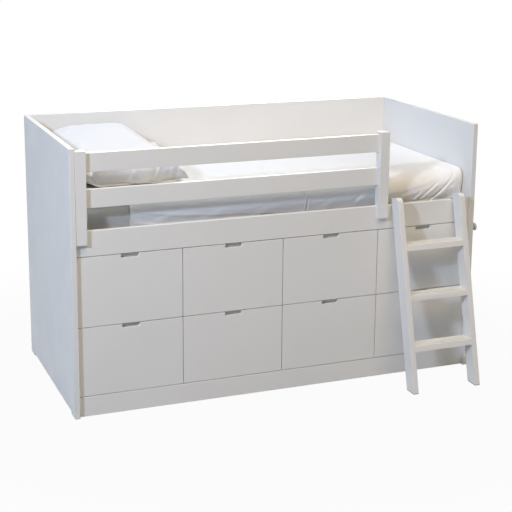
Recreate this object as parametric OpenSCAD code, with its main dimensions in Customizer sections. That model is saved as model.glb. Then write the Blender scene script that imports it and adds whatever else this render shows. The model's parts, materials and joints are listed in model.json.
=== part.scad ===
// Cabin bed: a raised single bed on a cabinet with two rows of drawers, closed at the ends and
// the back, with a guard rail over part of the front and a ladder that hooks on beside it.
// Millimetres. Left and right are as seen from the front. X runs along the bed, Y to the back.
// The modules draw the bed with its left front floor corner at zero, and place() then moves it,
// so that the origin lies on the floor under the middle of the whole outline, ladder and knob too.

/* [Mattress and bedding] */
// Length of the mattress
mattress_l = 2000; // [1800:10:2200]
// Width of the mattress
mattress_w = 880; // [780:10:1200]
// Thickness of the mattress
mattress_h = 160; // [110:5:180]
// Rounding of the mattress's long edges
mattress_r = 50; // [10:1:54]
// Space between the mattress and each end panel
mattress_end_play = 5; // [2:1:20]
// Space between the side board and the mattress, where the cover hangs down
mattress_front_play = 30; // [24:1:60]
// Space between the mattress and the back board
mattress_back_play = 10; // [2:1:40]
// Thickness of the cover on top of the mattress
cover_t = 32; // [12:1:50]
// Thickness of the cover where it hangs down the front
cover_front_t = 10; // [4:1:14]
// Height of the hanging cover's lower edge above the slats
cover_lift = 25; // [5:1:60]
// Distance from the left end panel to the edge of the cover
cover_start = 273; // [200:1:900]
// Length of the pillow along the bed
pillow_l = 640; // [450:10:700]
// Width of the pillow across the bed
pillow_w = 765; // [600:5:770]
// Height of the pillow at its crown, which lies near the back board
pillow_h = 190; // [120:5:210]
// Height of the pillow near its front edge
pillow_front_h = 118; // [90:5:150]
// Space between the pillow and the left end panel
pillow_end_play = 20; // [5:1:60]
// Space between the pillow and the back board
pillow_back_play = 12; // [3:1:40]

/* [Boards] */
// Thickness of the two end panels
end_t = 25; // [18:1:40]
// Overall height of the end panels and the back board
bed_h = 1260; // [1200:5:1500]
// Thickness of the back boards
back_t = 18; // [14:1:30]
// Thickness of the partitions between the drawers
partition_t = 18; // [18:1:25]
// Thickness of the cabinet's base panel
base_t = 18; // [16:1:25]
// Distance from the end panels' front edges back to the drawer fronts
front_inset = 20; // [15:1:40]
// Thickness of the side board over the drawers
side_board_t = 22; // [20:1:30]
// Height of the side board over the drawers
side_board_h = 118; // [110:1:160]
// Height of the plinth
plinth_h = 95; // [60:1:160]
// Thickness of the plinth
plinth_t = 18; // [16:1:22]
// Height of the glides under the end panels
glide_h = 12; // [5:1:20]
// Length of each glide
glide_l = 80; // [40:5:150]
// Rounding of the boards' long edges
edge_r = 2; // [1:0.5:3]

/* [Slats] */
// Number of slats
slat_count = 17; // [10:1:22]
// Width of a slat
slat_w = 70; // [50:1:78]
// Thickness of a slat
slat_t = 18; // [12:1:22]
// Height of the bearers that carry the slats
bearer_h = 30; // [24:1:40]
// Thickness of the bearers
bearer_t = 20; // [16:1:30]
// Distance from the side board's lower edge up to the bearers
bearer_lift = 20; // [17:1:30]
// Space between the slats' ends and the guard rail's bolt heads
slat_end_play = 1.5; // [1:0.5:5]

/* [Drawers] */
// Number of drawers side by side
columns = 4; // [4]
// Height of a drawer front
front_h = 329; // [280:1:360]
// Thickness of a drawer front
front_t = 19; // [16:1:21]
// Joint between neighbouring drawer fronts
front_gap = 3; // [2:0.5:4]
// Width of the finger notch in a drawer front
notch_w = 84; // [60:1:120]
// Height of the finger notch
notch_h = 18; // [14:1:26]
// Rounding of the finger notch's lower corners
notch_r = 6; // [2:1:10]
// Height of a drawer box
box_h = 250; // [120:5:255]
// Depth of a drawer box from front to back
box_l = 500; // [350:10:700]
// Thickness of the drawer box's sides, back and inner front
box_t = 15; // [12:1:18]
// Thickness of the drawer's bottom panel
bottom_t = 6; // [4:1:8]
// Distance from the sides' lower edges up to the bottom panel
bottom_lift = 10; // [8:1:16]
// Depth of the groove that holds the bottom panel
groove = 5; // [3:1:7]
// Distance from a front's lower edge up to its box
box_rise = 25; // [15:1:40]
// Distance from a front's upper edge down to the box's inner front, which closes the notch behind
inner_front_drop = 3; // [2:1:10]
// Distance from a box's sides to the screws of its front
front_screw_side = 70; // [40:5:100]
// Distance from a box's lower and upper edges to those screws
front_screw_edge = 50; // [30:5:55]
// Length of those screws in the front
front_screw_l = 12; // [8:1:14]
// Radius of those screws' heads
front_screw_head_r = 4; // [3:0.5:5]

/* [Runners] */
// Space for a runner on each side of a drawer box
runner_gap = 12.5; // [12:0.5:14]
// Thickness of the runners' sheet steel
sheet_t = 1.2; // [1:0.1:1.5]
// Height of the cabinet runner's channel from outside to outside
channel_h = 18.2; // [17:0.1:19]
// Height of the channel's lower side above the drawer box's lower edge
channel_rise = 4; // [3:0.5:5]
// Space between the roller at a cabinet runner's front and the channel's lower side
front_roller_gap = 2.3; // [1:0.1:4]
// Width of the rollers
roller_w = 6; // [4:0.5:6.5]
// Distance from a drawer runner's rear end to its roller
rear_roller_in = 4; // [2:1:10]
// Radius of the roller pins
roller_pin_r = 2.5; // [1.5:0.1:3]
// Radius of the shank of the screws that fix the runners
runner_screw_r = 1.8; // [1.5:0.1:2]
// Height of those screws' heads
runner_head_h = 1.5; // [1:0.1:2]
// Distance from those screws' tips to the middle of the partition
runner_screw_web = 1; // [0.8:0.1:4]
// Distance from a cabinet runner's front end to its first screws
runner_screw_front = 42; // [36:1:80]
// Distance from a cabinet runner's rear end to its last screws
runner_screw_rear = 60; // [40:1:120]

/* [Guard rail] */
// Space between the left end panel and the left post
guard_gap = 1; // [1:1:20]
// Width of a post, along the bed
post_w = 50; // [40:1:70]
// Distance that the posts reach back past the side board
post_back = 5; // [2:1:15]
// Length of the tongue of each post that laps over the side board
post_lap = 60; // [50:1:90]
// Height of a rail
rail_h = 86; // [60:1:100]
// Thickness of a rail
rail_t = 22; // [18:1:24]
// Gap between the side board and the middle rail
gap_low = 104; // [60:1:120]
// Gap between the middle rail and the top rail
gap_high = 78; // [60:1:120]
// Height of the posts above the top rail
post_over = 12; // [0:1:40]
// Radius of the bolts through the side board into the posts
bolt_r = 3; // [2.5:0.5:4]
// Radius of the bolts' heads
bolt_head_r = 6; // [5:0.5:7]
// Height of the bolts' heads
bolt_head_h = 3.5; // [2:0.5:5]
// Thickness of the wood that is left in front of the bolts' tips
bolt_web = 5; // [3:0.5:8]
// Distance from the side board's top down to the upper bolts
bolt_down = 16; // [12:1:20]
// Distance from the upper bolts down to the lower ones
bolt_pitch = 22; // [18:1:26]

/* [Ladder] */
// Lean of the ladder from upright, in degrees
lean = 14; // [8:0.5:18]
// Width of the ladder from outside to outside
ladder_w = 370; // [300:5:420]
// Space between the right end panel and the ladder
ladder_gap = 63; // [20:1:90]
// Space between the ladder and the guard rail's right post
ladder_post_gap = 28; // [5:1:80]
// Thickness of a stringer, along the bed
stringer_t = 28; // [22:1:36]
// Width of a stringer, seen from the side
stringer_w = 70; // [50:1:90]
// Height of the stringers' tops above the side board
stringer_over = 31; // [20:1:80]
// Rounding of the stringers' upper front corners
stringer_r = 25; // [5:1:35]
// Number of treads
treads = 3; // [3]
// Height from tread to tread
tread_pitch = 238; // [200:1:250]
// Height of the lowest tread's top above the floor
tread_first = 224; // [180:1:260]
// Thickness of a tread
tread_t = 27; // [20:1:35]
// Thickness of the rubber pads under the stringers
pad_t = 3; // [2:0.5:6]
// Thickness of the steel hooks
hook_t = 3; // [2:0.5:5]
// Width of the steel hooks
hook_w = 20; // [14:1:22]
// Length of the hook's leg on the stringer, measured upright
hook_leg = 45; // [40:1:70]
// Distance from the leg's lower end to the lower hook screw
hook_screw_edge = 10; // [6:1:12]
// Distance between the two screws of a hook
hook_screw_pitch = 16; // [12:1:18]
// Depth to which the hook reaches down behind the side board
hook_drop = 30; // [15:1:30]
// Radius of the hook screws' shanks
hook_screw_r = 1.8; // [1.5:0.1:2.5]
// Length of the hook screws in the stringer
hook_screw_l = 20; // [12:1:30]

/* [Dowels and fittings] */
// Radius of the wooden dowels
dowel_r = 4; // [3:0.5:5]
// Length of a dowel on each side of its joint
dowel_half = 14; // [10:1:16]
// Radius of the cam discs
cam_r = 7.5; // [6:0.5:7.5]
// Depth of the cam discs in their boards
cam_d = 12.5; // [11:0.5:13]
// Distance from a board's end to its cam discs
cam_in = 34; // [24:1:40]
// Radius of the cams' connecting bolts
cam_bolt_r = 3.5; // [2.5:0.1:3.5]
// Length of the connecting bolts in the end panels
cam_bolt_in = 11; // [8:1:14]
// Radius of the shank of the screws in the slat bearers
bearer_screw_r = 2; // [1.5:0.1:2.5]
// Length of those screws in the side board and in the back board
bearer_screw_l = 10; // [6:1:14]
// Number of screws in each slat bearer
bearer_screws = 5; // [3:1:9]
// Distance from an end panel to the first of those screws
bearer_screw_in = 60; // [50:5:100]
// Distance from a board's edges to its outer fittings
fitting_edge = 60; // [45:5:90]
// Distance from the side board's lower and upper edges to its fittings
side_fitting_edge = 10; // [9:1:12]
// Distance from the partitions' front and back to their dowels
partition_dowel_in = 80; // [40:5:150]

/* [Side knob] */
// Radius of the clothes knob on the right end panel
knob_r = 20; // [12:1:25]
// Distance that the knob stands out
knob_out = 32; // [24:1:45]
// Distance from the end panel's front edge to the knob's axis
knob_in = 35; // [28:1:300]
// Height of the knob's axis above the floor
knob_z = 725; // [400:5:1200]
// Radius of the knob's stem inside the end panel
knob_stem_r = 4; // [3:0.5:5]
// Length of that stem
knob_stem_l = 12; // [8:1:15]

/* [Hidden] */
$fn = 48;
rows = 2;
// Play between pieces that move apart or that are put together loosely
clear = 0.3;
// Play of a screw, bolt, dowel or pin in its hole
hole_play = 0.1;
// Extra depth of a blind hole past the tip of what goes in
tip_play = 0.5;
// Thickness of a glue line between boards that meet
glue_t = 0.1;
// Excess of a cutting shape past the surface that it cuts
over = 1;

// Places along the bed
inner_l = mattress_l + 2 * mattress_end_play;
bed_l = inner_l + 2 * end_t;
inner_x1 = end_t + inner_l;
pitch = inner_l / columns;
front_w = pitch - front_gap;
box_w = pitch - partition_t - 2 * runner_gap;
function front_x(i) = end_t + front_gap / 2 + i * pitch;
function box_x(i) = front_x(i) + (front_w - box_w) / 2;
function partition_x(i) = end_t + (i + 1) * pitch - partition_t / 2;

// Places from the front to the back
side_y1 = front_inset + side_board_t;
mattress_y0 = side_y1 + mattress_front_play;
mattress_y1 = mattress_y0 + mattress_w;
back_y0 = mattress_y1 + mattress_back_play;
bed_d = back_y0 + back_t;
plinth_y1 = front_inset + plinth_t;
front_y1 = front_inset + front_t;

// Heights
base_z0 = plinth_h - base_t;
row_pitch = front_h + front_gap;
side_z0 = plinth_h + front_gap + rows * row_pitch;
side_z1 = side_z0 + side_board_h;
bearer_z0 = side_z0 + bearer_lift;
bearer_z1 = bearer_z0 + bearer_h;
mattress_z0 = bearer_z1 + slat_t;
mattress_z1 = mattress_z0 + mattress_h;
cover_z1 = mattress_z1 + cover_t;
middle_rail_z0 = side_z1 + gap_low;
top_rail_z0 = middle_rail_z0 + rail_h + gap_high;
post_z0 = side_z1 - post_lap;
post_z1 = top_rail_z0 + rail_h + post_over;
function front_z(j) = plinth_h + front_gap + j * row_pitch;
function box_z(j) = front_z(j) + box_rise;
inner_front_h = front_h - box_rise - inner_front_drop;

// Guard rail: it ends a little before the ladder, which stands near the right end panel
ladder_x0 = inner_x1 - ladder_gap - ladder_w;
guard_l = ladder_x0 - ladder_post_gap - end_t - guard_gap;
post_left_x = end_t + guard_gap;
post_right_x = post_left_x + guard_l - post_w;
post_d = side_y1 + post_back;
rail_x0 = post_left_x + post_w;
rail_l = guard_l - 2 * post_w;
bolt_zs = [side_z1 - bolt_down - bolt_pitch, side_z1 - bolt_down];
bolt_in_post = front_inset - bolt_web;

// Ladder: its back edge is a leaning line that passes the side board's upper edge
stringer_xs = [ladder_x0, ladder_x0 + ladder_w - stringer_t];
stringer_depth = stringer_w / cos(lean);
hook_depth = hook_t / cos(lean);
function ladder_back(z) = front_inset - clear - hook_depth + (z - side_z1) * tan(lean);
stringer_top_z = side_z1 + stringer_over;
stringer_l = stringer_top_z / cos(lean) + stringer_w;
ladder_front = ladder_back(pad_t) - stringer_depth;
hook_screw_z0 = side_z1 - hook_leg + hook_screw_edge;
hook_screw_zs = [hook_screw_z0, hook_screw_z0 + hook_screw_pitch];
function tread_z(k) = tread_first + k * tread_pitch;

// Runners, measured from the box's outer side face and from its lower edge
channel_z1 = channel_rise + channel_h;
roller_r = channel_h / 2 - sheet_t - clear;
roller_z = channel_rise + channel_h / 2;
lip_z = channel_z1 + 1.6;
front_roller_r = (lip_z - clear - channel_rise - sheet_t - front_roller_gap) / 2;
front_roller_z = lip_z - clear - front_roller_r;
lip_w = runner_gap - sheet_t - runner_head_h - clear;
channel_w = lip_w - 0.5;
roller_x = lip_w - roller_w;
runner_screw_l = partition_t / 2 - runner_screw_web;
runner_y0 = side_y1 + 2;
runner_y1 = front_y1 + box_l;
front_roller_y = runner_y0 + front_roller_r + 2;
lip_y0 = front_roller_y + front_roller_r + 2;
rear_roller_y = runner_y1 - roller_r - rear_roller_in;
runner_screw_ys = [runner_y0 + runner_screw_front, runner_y1 - runner_screw_rear];

// Fittings: heights or depths of the cams at both ends of each board
side_cam_zs = [side_z0 + side_fitting_edge, bearer_z0 + bearer_h / 2];
side_dowel_z = side_z1 - side_fitting_edge - dowel_r;
upper_cam_zs = [side_z0 + fitting_edge, (side_z0 + bed_h) / 2, bed_h - fitting_edge];
lower_cam_zs = [fitting_edge, side_z0 / 2, side_z0 - fitting_edge];
base_cam_ys = [plinth_y1 + fitting_edge, (plinth_y1 + back_y0) / 2, back_y0 - fitting_edge];
plinth_cam_z = (plinth_h - base_t) / 2;
bearer_screw_pitch = (inner_l - 2 * bearer_screw_in) / (bearer_screws - 1);
bearer_screw_xs = [for (i = [0 : bearer_screws - 1]) end_t + bearer_screw_in + i * bearer_screw_pitch];
partition_dowel_ys = [side_y1 + partition_dowel_in, back_y0 - partition_dowel_in];

drawer_names = ["1_lower", "2_lower", "3_lower", "4_lower", "1_upper", "2_upper", "3_upper", "4_upper"];

// Moves a piece from the bed's corner to the part's own origin
module place() {
    translate([-(bed_l + knob_out) / 2, -(ladder_front + bed_d) / 2, 0]) children();
}

// ---- Basic shapes ----

// Rectangle with rounded corners
module round_rect(a, b, r) {
    translate([r, 0]) square([a - 2 * r, b]);
    translate([0, r]) square([a, b - 2 * r]);
    for (x = [r, a - r], y = [r, b - r]) translate([x, y]) circle(r);
}

// Turns a flat shape, drawn with the depth to the right, into a length along the bed
module along_bed(x0, l) {
    translate([x0, 0, 0]) rotate([90, 0, 90]) linear_extrude(l) children();
}

// Board that runs along the bed, with its four long edges rounded
module long_board(at, size, r = edge_r) {
    along_bed(at[0], size[0]) translate([at[1], at[2]]) round_rect(size[1], size[2], r);
}

// Board that stands upright, with its four upright edges rounded
module upright_board(at, size, r = edge_r) {
    translate(at) linear_extrude(size[2]) round_rect(size[0], size[1], r);
}

// Round bars along each direction
module bar_x(at, l, r) {
    translate(at) rotate([0, 90, 0]) cylinder(h = l, r = r);
}

module bar_y(at, l, r) {
    translate(at) rotate([-90, 0, 0]) cylinder(h = l, r = r);
}

module bar_z(at, l, r) {
    translate(at) cylinder(h = l, r = r);
}

// ---- Cam fittings: play is zero for the fitting and hole_play for the hole that holds it ----

// Calls its child once for each end, mirrored to the right end
module both_ends() {
    children();
    translate([bed_l, 0, 0]) mirror([1, 0, 0]) children();
}

// Connecting bolt from an end panel to the cam's centre, at depth y and height z
module cam_bolt(y, z, play = 0) {
    tip = play > 0 ? tip_play : 0;
    both_ends() bar_x([end_t - cam_bolt_in - tip, y, z], cam_bolt_in + cam_in + 2 * tip, cam_bolt_r + play);
}

// Disc in a back board, let in from the bed's rear
module rear_cam(z, play = 0) {
    depth = cam_d + play;
    both_ends() bar_y([end_t + cam_in, bed_d - depth, z], depth + over * sign(play), cam_r + play);
}

// Disc in a front board, let in from the board's inner face at depth y
module front_cam(y, z, play = 0) {
    depth = cam_d + play;
    both_ends() bar_y([end_t + cam_in, y - depth, z], depth + over * sign(play), cam_r + play);
}

// Disc in the base panel, let in from below
module base_cam(y, play = 0) {
    lip = over * sign(play);
    both_ends() bar_z([end_t + cam_in, y, base_z0 - lip], cam_d + lip + play, cam_r + play);
}

// All connecting bolts
module cam_bolts(play = 0) {
    for (z = side_cam_zs) cam_bolt(front_inset + side_board_t / 2, z, play);
    for (z = concat(upper_cam_zs, lower_cam_zs)) cam_bolt(back_y0 + back_t / 2, z, play);
    for (y = base_cam_ys) cam_bolt(y, base_z0 + base_t / 2, play);
    cam_bolt(front_inset + plinth_t / 2, plinth_cam_z, play);
}

// All cam discs
module cam_discs(play = 0) {
    for (z = side_cam_zs) front_cam(side_y1, z, play);
    for (z = concat(upper_cam_zs, lower_cam_zs)) rear_cam(z, play);
    for (y = base_cam_ys) base_cam(y, play);
    front_cam(plinth_y1, plinth_cam_z, play);
}

// Countersunk screws of the slat bearers: dir is -1 on the side board and 1 on the back board
module bearer_screw_row(face_y, dir, play = 0) {
    z = bearer_z0 + bearer_h / 2;
    in_board = bearer_screw_l + (play > 0 ? tip_play : 0);
    for (x = bearer_screw_xs) {
        y0 = dir < 0 ? face_y - in_board : face_y - bearer_t;
        bar_y([x, y0, z], bearer_t + in_board, bearer_screw_r + play);
    }
}

module bearer_screw_heads(face_y, dir) {
    head_h = 2;
    for (x = bearer_screw_xs) {
        y0 = dir < 0 ? face_y + bearer_t : face_y - bearer_t - head_h;
        bar_y([x, y0, bearer_z0 + bearer_h / 2], head_h, 2 * bearer_screw_r);
    }
}

// Dowels between the end panels and the side board, over its cams
module side_dowels(play = 0) {
    half = dowel_half + (play > 0 ? tip_play : 0);
    middle_y = front_inset + side_board_t / 2;
    both_ends() bar_x([end_t - half, middle_y, side_dowel_z], 2 * half, dowel_r + play);
}

// Dowels that stand in the base panel and locate the partitions
module partition_dowels(play = 0) {
    tip = play > 0 ? tip_play : 0;
    for (i = [0 : columns - 2], y = partition_dowel_ys)
        bar_z([partition_x(i) + partition_t / 2, y, plinth_h - dowel_half - tip],
            2 * (dowel_half + tip), dowel_r + play);
}

// ---- Carcass ----

module end_panel(x) {
    color("white") difference() {
        upright_board([x, 0, glide_h], [end_t, bed_d, bed_h - glide_h]);
        cam_bolts(hole_play);
        side_dowels(hole_play);
        runner_screw_shanks(hole_play);
        knob_stem(hole_play);
    }
}

module left_end_panel() {
    end_panel(0);
}

module right_end_panel() {
    end_panel(inner_x1);
}

module back_board_upper() {
    color("white") difference() {
        long_board([end_t, back_y0, side_z0], [inner_l, back_t, bed_h - side_z0]);
        cam_bolts(hole_play);
        cam_discs(hole_play);
        bearer_screw_row(back_y0, 1, hole_play);
    }
}

module back_board_lower() {
    color("white") difference() {
        long_board([end_t, back_y0, glide_h], [inner_l, back_t, side_z0 - glide_h]);
        cam_bolts(hole_play);
        cam_discs(hole_play);
    }
}

module side_board() {
    color("white") difference() {
        long_board([end_t, front_inset, side_z0], [inner_l, side_board_t, side_board_h]);
        cam_bolts(hole_play);
        cam_discs(hole_play);
        side_dowels(hole_play);
        bearer_screw_row(side_y1, -1, hole_play);
        guard_bolt_shanks(hole_play);
    }
}

module plinth() {
    color("white") difference() {
        long_board([end_t, front_inset, 0], [inner_l, plinth_t, plinth_h]);
        cam_bolts(hole_play);
        cam_discs(hole_play);
    }
}

module base_panel() {
    color("white") difference() {
        translate([end_t, plinth_y1, base_z0]) cube([inner_l, back_y0 - plinth_y1, base_t]);
        cam_bolts(hole_play);
        cam_discs(hole_play);
        partition_dowels(hole_play);
    }
}

module partition(i) {
    color("white") difference() {
        translate([partition_x(i), side_y1, plinth_h])
            cube([partition_t, back_y0 - side_y1, bearer_z0 - plinth_h]);
        partition_dowels(hole_play);
        runner_screw_shanks(hole_play);
    }
}

module partition_left() {
    partition(0);
}

module partition_middle() {
    partition(1);
}

module partition_right() {
    partition(2);
}

// Blocks that the end panels stand on, at the front and the back corners
module foot_glides() {
    color("white") for (x = [0, inner_x1], y = [0, bed_d - glide_l])
        upright_board([x, y, 0], [end_t, glide_l, glide_h]);
}

module carcass_fittings() {
    color("silver") {
        cam_bolts();
        difference() {
            cam_discs();
            cam_bolts(hole_play);
        }
        bearer_screw_row(side_y1, -1);
        bearer_screw_heads(side_y1, -1);
        bearer_screw_row(back_y0, 1);
        bearer_screw_heads(back_y0, 1);
        side_dowels();
        partition_dowels();
    }
}

// ---- Slats ----

module slat_bearers() {
    color("burlywood") for (end = [[side_y1, -1], [back_y0 - bearer_t, 1]]) difference() {
        translate([end_t, end[0], bearer_z0]) cube([inner_l, bearer_t, bearer_h]);
        bearer_screw_row(end[1] < 0 ? side_y1 : back_y0, end[1], hole_play);
    }
}

module slats() {
    slat_y0 = side_y1 + bolt_head_h + slat_end_play;
    slat_l = back_y0 + side_y1 - 2 * slat_y0;
    slat_pitch = inner_l / slat_count;
    color("burlywood") for (i = [0 : slat_count - 1])
        translate([end_t + (i + 0.5) * slat_pitch - slat_w / 2, slat_y0, bearer_z1])
            cube([slat_w, slat_l, slat_t]);
}

// ---- Drawer runners in the cabinet ----

// Calls its child for each runner, mirrored for the right-hand ones. The child is drawn with the
// box's side face at zero, growing towards the cabinet, and with the box's lower edge at zero.
module each_runner(drawers) {
    for (d = drawers) {
        translate([box_x(d[0]), 0, box_z(d[1])]) mirror([1, 0, 0]) children();
        translate([box_x(d[0]) + box_w, 0, box_z(d[1])]) children();
    }
}

all_drawers = [for (j = [0 : rows - 1], i = [0 : columns - 1]) [i, j]];

// Extrudes a flat shape, drawn from the front, over a stretch of depth
module along_depth(y0, y1) {
    translate([0, y1, 0]) rotate([90, 0, 0]) linear_extrude(y1 - y0) children();
}

module cabinet_runner() {
    plate_x = runner_gap - sheet_t;
    channel_x = runner_gap - channel_w;
    difference() {
        union() {
            along_depth(runner_y0, runner_y1) polygon([
                [channel_x, channel_rise], [runner_gap, channel_rise], [runner_gap, channel_z1],
                [plate_x, channel_z1], [plate_x, channel_rise + sheet_t],
                [channel_x, channel_rise + sheet_t]]);
            along_depth(lip_y0, runner_y1)
                translate([channel_x, channel_z1 - sheet_t]) square([channel_w, sheet_t]);
        }
        for (y = runner_screw_ys)
            bar_x([plate_x - over, y, roller_z], sheet_t + 2 * over, runner_screw_r + hole_play);
    }
    // The pin is riveted in the runner's plate, and the roller turns on it
    bar_x([roller_x, front_roller_y, front_roller_z], plate_x - roller_x, roller_pin_r);
    difference() {
        bar_x([roller_x, front_roller_y, front_roller_z], roller_w, front_roller_r);
        bar_x([roller_x - over, front_roller_y, front_roller_z], roller_w + 2 * over,
            roller_pin_r + hole_play);
    }
}

module cabinet_runners() {
    color("whitesmoke") each_runner(all_drawers) cabinet_runner();
}

// Shanks of the runner screws, which start at the runner's inner side
module runner_screw_shanks(play = 0) {
    tip = play > 0 ? tip_play : 0;
    each_runner(all_drawers) for (y = runner_screw_ys)
        bar_x([runner_gap - sheet_t, y, roller_z], sheet_t + runner_screw_l + tip, runner_screw_r + play);
}

module runner_screws() {
    color("silver") {
        runner_screw_shanks();
        each_runner(all_drawers) for (y = runner_screw_ys)
            bar_x([runner_gap - sheet_t - runner_head_h, y, roller_z], runner_head_h, 2 * runner_screw_r);
    }
}

// Strips that fill the end panels out to the runners of the outer columns
module runner_packers() {
    packer_t = (front_gap + front_w - box_w) / 2 - runner_gap;
    margin = 8;
    color("white") difference() {
        for (j = [0 : rows - 1], x = [end_t, inner_x1 - packer_t])
            translate([x, runner_y0, box_z(j) + channel_rise - margin])
                cube([packer_t, runner_y1 - runner_y0, channel_h + 2 * margin]);
        runner_screw_shanks(hole_play);
    }
}

// ---- Drawers: i is the column and j the row ----

module notch(i, j) {
    x0 = front_x(i) + (front_w - notch_w) / 2;
    z1 = front_z(j) + front_h;
    along_depth(front_inset - over, front_y1 + over) translate([x0, z1 - notch_h]) {
        translate([notch_r, 0]) square([notch_w - 2 * notch_r, notch_h + over]);
        translate([0, notch_r]) square([notch_w, notch_h - notch_r + over]);
        for (x = [notch_r, notch_w - notch_r]) translate([x, notch_r]) circle(notch_r);
    }
}

// Calls its child at each screw of a drawer front, in the bed's depth
module each_front_screw(i, j) {
    side = front_screw_side;
    edge = front_screw_edge;
    for (x = [box_x(i) + side, box_x(i) + box_w - side], z = [box_z(j) + edge, box_z(j) + box_h - edge])
        translate([x, 0, z]) children();
}

// Screws through the box's inner front into the drawer front
module front_screws(i, j, play = 0) {
    in_front = front_screw_l + (play > 0 ? tip_play : 0);
    each_front_screw(i, j) bar_y([0, front_y1 - in_front, 0], in_front + box_t, 2 + play);
}

module drawer_front(i, j) {
    color("white") difference() {
        translate([front_x(i), front_inset, front_z(j)]) cube([front_w, front_t, front_h]);
        notch(i, j);
        front_screws(i, j, hole_play);
    }
}

module drawer_box(i, j) {
    x0 = box_x(i);
    x1 = x0 + box_w;
    z0 = box_z(j);
    bottom_x0 = x0 + box_t - groove;
    bottom_y0 = front_y1 + box_t - groove;
    bottom_z0 = z0 + bottom_lift;
    bottom_w = box_w - 2 * (box_t - groove);
    bottom_l = box_l - 2 * (box_t - groove);
    color("whitesmoke") {
        // Sides, then the inner front and the back between them, all grooved for the bottom
        difference() {
            for (x = [x0, x1 - box_t]) translate([x, front_y1, z0]) cube([box_t, box_l, box_h]);
            translate([bottom_x0, front_y1 - over, bottom_z0])
                cube([bottom_w, box_l + 2 * over, bottom_t]);
        }
        for (end = [[front_y1, inner_front_h], [front_y1 + box_l - box_t, box_h]]) difference() {
            translate([x0 + box_t + glue_t, end[0], z0])
                cube([box_w - 2 * (box_t + glue_t), box_t, end[1]]);
            translate([bottom_x0, bottom_y0, bottom_z0]) cube([bottom_w, bottom_l, bottom_t]);
            front_screws(i, j, hole_play);
        }
        // Bottom panel, a glue line smaller than its grooves all round
        translate([bottom_x0 + glue_t, bottom_y0 + glue_t, bottom_z0 + glue_t])
            cube([bottom_w - 2 * glue_t, bottom_l - 2 * glue_t, bottom_t - 2 * glue_t]);
    }
}

module drawer_runner() {
    along_depth(front_y1 + 1, runner_y1) polygon([
        [1 - box_t, -sheet_t], [sheet_t, -sheet_t], [sheet_t, lip_z], [lip_w, lip_z],
        [lip_w, lip_z + sheet_t], [0, lip_z + sheet_t], [0, 0], [1 - box_t, 0]]);
    // The pin is riveted in the runner's plate, and the roller turns on it in the channel
    bar_x([sheet_t, rear_roller_y, roller_z], lip_w - sheet_t, roller_pin_r);
    difference() {
        bar_x([roller_x, rear_roller_y, roller_z], roller_w, roller_r);
        bar_x([roller_x - over, rear_roller_y, roller_z], roller_w + 2 * over, roller_pin_r + hole_play);
    }
}

module drawer_fittings(i, j) {
    head_h = 2;
    color("whitesmoke") {
        each_runner([[i, j]]) drawer_runner();
        front_screws(i, j);
        each_front_screw(i, j) bar_y([0, front_y1 + box_t, 0], head_h, front_screw_head_r);
    }
}

// ---- Guard rail ----

// Bolts from behind the side board into the tongues of the posts
module guard_bolt_shanks(play = 0) {
    y0 = front_inset - bolt_in_post - (play > 0 ? tip_play : 0);
    for (x = [post_left_x, post_right_x], z = bolt_zs)
        bar_y([x + post_w / 2, y0, z], side_y1 - y0, bolt_r + play);
}

module guard_bolts() {
    color("silver") {
        guard_bolt_shanks();
        for (x = [post_left_x, post_right_x], z = bolt_zs)
            bar_y([x + post_w / 2, side_y1, z], bolt_head_h, bolt_head_r);
    }
}

module guard_dowel_set(play = 0) {
    tip = play > 0 ? tip_play : 0;
    for (x = [rail_x0, rail_x0 + rail_l], z0 = [middle_rail_z0, top_rail_z0], z = [0.25, 0.75])
        bar_x([x - dowel_half - tip, front_inset + rail_t / 2, z0 + z * rail_h],
            2 * (dowel_half + tip), dowel_r + play);
}

module guard_dowels() {
    color("burlywood") guard_dowel_set();
}

// Square post: its back half ends on the side board's top, its front half laps over the board
module guard_post(x) {
    color("white") difference() {
        upright_board([x, 0, post_z0], [post_w, post_d, post_z1 - post_z0]);
        translate([x - over, front_inset, post_z0 - over])
            cube([post_w + 2 * over, post_d, post_lap + over]);
        guard_bolt_shanks(hole_play);
        guard_dowel_set(hole_play);
    }
}

module guard_post_left() {
    guard_post(post_left_x);
}

module guard_post_right() {
    guard_post(post_right_x);
}

module guard_rail(z0) {
    color("white") difference() {
        long_board([rail_x0, front_inset, z0], [rail_l, rail_t, rail_h]);
        guard_dowel_set(hole_play);
    }
}

module guard_rail_top() {
    guard_rail(top_rail_z0);
}

module guard_rail_middle() {
    guard_rail(middle_rail_z0);
}

// ---- Ladder ----

// Side view of a stringer: the depth runs to the right and the height up
module stringer_profile() {
    difference() {
        translate([ladder_back(stringer_top_z), stringer_top_z]) rotate(-lean) {
            translate([-stringer_w, -stringer_l]) square([stringer_w, stringer_l - stringer_r]);
            translate([stringer_r - stringer_w, -stringer_r])
                square([stringer_w - stringer_r, stringer_r]);
            translate([stringer_r - stringer_w, -stringer_r]) circle(stringer_r);
        }
        translate([-2 * stringer_l, pad_t - stringer_l]) square([3 * stringer_l, stringer_l]);
    }
}

module stringer(x) {
    color("white") difference() {
        along_bed(x, stringer_t) stringer_profile();
        ladder_dowel_set(hole_play);
        hook_screw_shanks(hole_play);
    }
}

module ladder_stringer_left() {
    stringer(stringer_xs[0]);
}

module ladder_stringer_right() {
    stringer(stringer_xs[1]);
}

// Tread with its front and back edges cut to the lean of the stringers
module tread(k) {
    z1 = tread_z(k);
    z0 = z1 - tread_t;
    color("white") difference() {
        along_bed(ladder_x0 + stringer_t, ladder_w - 2 * stringer_t) polygon([
            [ladder_back(z1), z1], [ladder_back(z1) - stringer_depth, z1],
            [ladder_back(z0) - stringer_depth, z0], [ladder_back(z0), z0]]);
        ladder_dowel_set(hole_play);
    }
}

module ladder_tread_bottom() {
    tread(0);
}

module ladder_tread_middle() {
    tread(1);
}

module ladder_tread_top() {
    tread(2);
}

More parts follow.
